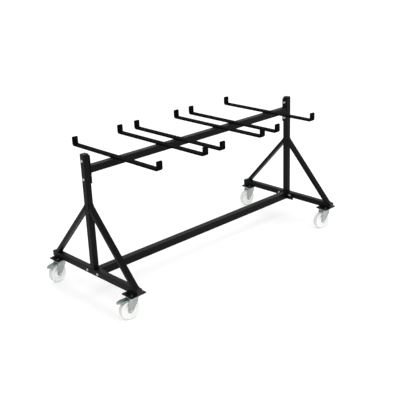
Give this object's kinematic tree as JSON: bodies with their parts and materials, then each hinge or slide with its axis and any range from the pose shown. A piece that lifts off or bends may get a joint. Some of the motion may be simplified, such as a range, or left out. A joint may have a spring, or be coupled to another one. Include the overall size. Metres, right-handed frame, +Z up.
{
  "type": "saddle rack",
  "caption": "Long mobile saddle rack: two braced posts on castored base beams carry a top beam with upturned flat-bar saddle arms, tied by a low rail; two castors have brake pedals.",
  "frame": {"origin": "on the floor, under the middle of the rack's overall box", "axes": "+X along the rack towards the end without brakes, +Y across it to the left of that direction, +Z up"},
  "size_m": [2.0553, 0.883, 0.957],
  "materials": {
    "frame_paint": "fine black powder coat, satin",
    "cap_plastic": "moulded black polyethylene, satin",
    "fastener_zinc": "bright zinc plate",
    "castor_zinc": "blue-passivated zinc on pressed steel",
    "bearing_steel": "ground steel",
    "wheel_nylon": "off-white polyamide, satin",
    "brake_rubber": "black moulded rubber"
  },
  "bodies": {
    "frame": {"near_base_beam": "frame_paint", "near_post": "frame_paint", "near_left_brace": "frame_paint", "near_right_brace": "frame_paint", "far_base_beam": "frame_paint", "far_post": "frame_paint", "far_left_brace": "frame_paint", "far_right_brace": "frame_paint", "top_beam": "frame_paint", "bottom_rail": "frame_paint", "top_beam_flanges": "frame_paint", "bottom_rail_flanges": "frame_paint", "saddle_arm_1": "frame_paint", "saddle_arm_2": "frame_paint", "saddle_arm_3": "frame_paint", "saddle_arm_4": "frame_paint", "saddle_arm_5": "frame_paint", "saddle_arm_6": "frame_paint", "near_left_pad": "frame_paint", "near_right_pad": "frame_paint", "far_left_pad": "frame_paint", "far_right_pad": "frame_paint", "post_caps": "cap_plastic", "beam_end_caps": "cap_plastic", "top_flange_bolts": "fastener_zinc", "top_flange_nuts": "fastener_zinc", "rail_flange_bolts": "fastener_zinc", "rail_flange_nuts": "fastener_zinc", "castor_bolts": "fastener_zinc", "castor_nuts": "fastener_zinc", "near_left_castor_plate": "castor_zinc", "near_right_castor_plate": "castor_zinc", "far_left_castor_plate": "castor_zinc", "far_right_castor_plate": "castor_zinc", "ball_cups": "castor_zinc", "swivel_balls": "bearing_steel", "kingpins": "castor_zinc"},
    "near_left_fork": {"near_left_fork": "castor_zinc", "near_left_axle_sleeve": "bearing_steel", "near_left_axle_bolt": "fastener_zinc", "near_left_pedal_pin": "bearing_steel"},
    "near_left_wheel": {"near_left_wheel": "wheel_nylon"},
    "near_left_brake": {"near_left_brake_pedal": "castor_zinc", "near_left_brake_shoe": "brake_rubber"},
    "near_right_fork": {"near_right_fork": "castor_zinc", "near_right_axle_sleeve": "bearing_steel", "near_right_axle_bolt": "fastener_zinc", "near_right_pedal_pin": "bearing_steel"},
    "near_right_wheel": {"near_right_wheel": "wheel_nylon"},
    "near_right_brake": {"near_right_brake_pedal": "castor_zinc", "near_right_brake_shoe": "brake_rubber"},
    "far_left_fork": {"far_left_fork": "castor_zinc", "far_left_axle_sleeve": "bearing_steel", "far_left_axle_bolt": "fastener_zinc"},
    "far_left_wheel": {"far_left_wheel": "wheel_nylon"},
    "far_right_fork": {"far_right_fork": "castor_zinc", "far_right_axle_sleeve": "bearing_steel", "far_right_axle_bolt": "fastener_zinc"},
    "far_right_wheel": {"far_right_wheel": "wheel_nylon"}
  },
  "joints": [
    {"name": "near_left_swivel", "type": "hinge", "parent": "frame", "child": "near_left_fork", "pos_m": [-0.9098, 0.384, 0.1425], "axis": [0, 0, 1], "continuous": true},
    {"name": "near_left_wheel_roll", "type": "hinge", "parent": "near_left_fork", "child": "near_left_wheel", "pos_m": [-0.9497, 0.38121, 0.0625], "axis": [0.0698, -0.9976, 0], "continuous": true},
    {"name": "near_left_brake_pedal", "type": "hinge", "parent": "near_left_fork", "child": "near_left_brake", "pos_m": [-0.94172, 0.38177, 0.13], "axis": [0.0698, -0.9976, 0], "range_deg": [0, 14]},
    {"name": "near_right_swivel", "type": "hinge", "parent": "frame", "child": "near_right_fork", "pos_m": [-0.9098, -0.384, 0.1425], "axis": [0, 0, 1], "continuous": true},
    {"name": "near_right_wheel_roll", "type": "hinge", "parent": "near_right_fork", "child": "near_right_wheel", "pos_m": [-0.94877, -0.375, 0.0625], "axis": [-0.225, -0.9744, 0], "continuous": true},
    {"name": "near_right_brake_pedal", "type": "hinge", "parent": "near_right_fork", "child": "near_right_brake", "pos_m": [-0.94098, -0.3768, 0.13], "axis": [-0.225, -0.9744, 0], "range_deg": [0, 14]},
    {"name": "far_left_swivel", "type": "hinge", "parent": "frame", "child": "far_left_fork", "pos_m": [0.9702, 0.384, 0.1425], "axis": [0, 0, 1], "continuous": true},
    {"name": "far_left_wheel_roll", "type": "hinge", "parent": "far_left_fork", "child": "far_left_wheel", "pos_m": [0.93059, 0.38957, 0.0625], "axis": [-0.1392, -0.9903, 0], "continuous": true},
    {"name": "far_right_swivel", "type": "hinge", "parent": "frame", "child": "far_right_fork", "pos_m": [0.9702, -0.384, 0.1425], "axis": [0, 0, 1], "continuous": true},
    {"name": "far_right_wheel_roll", "type": "hinge", "parent": "far_right_fork", "child": "far_right_wheel", "pos_m": [0.93139, -0.37432, 0.0625], "axis": [-0.2419, -0.9703, 0], "continuous": true}
  ]
}
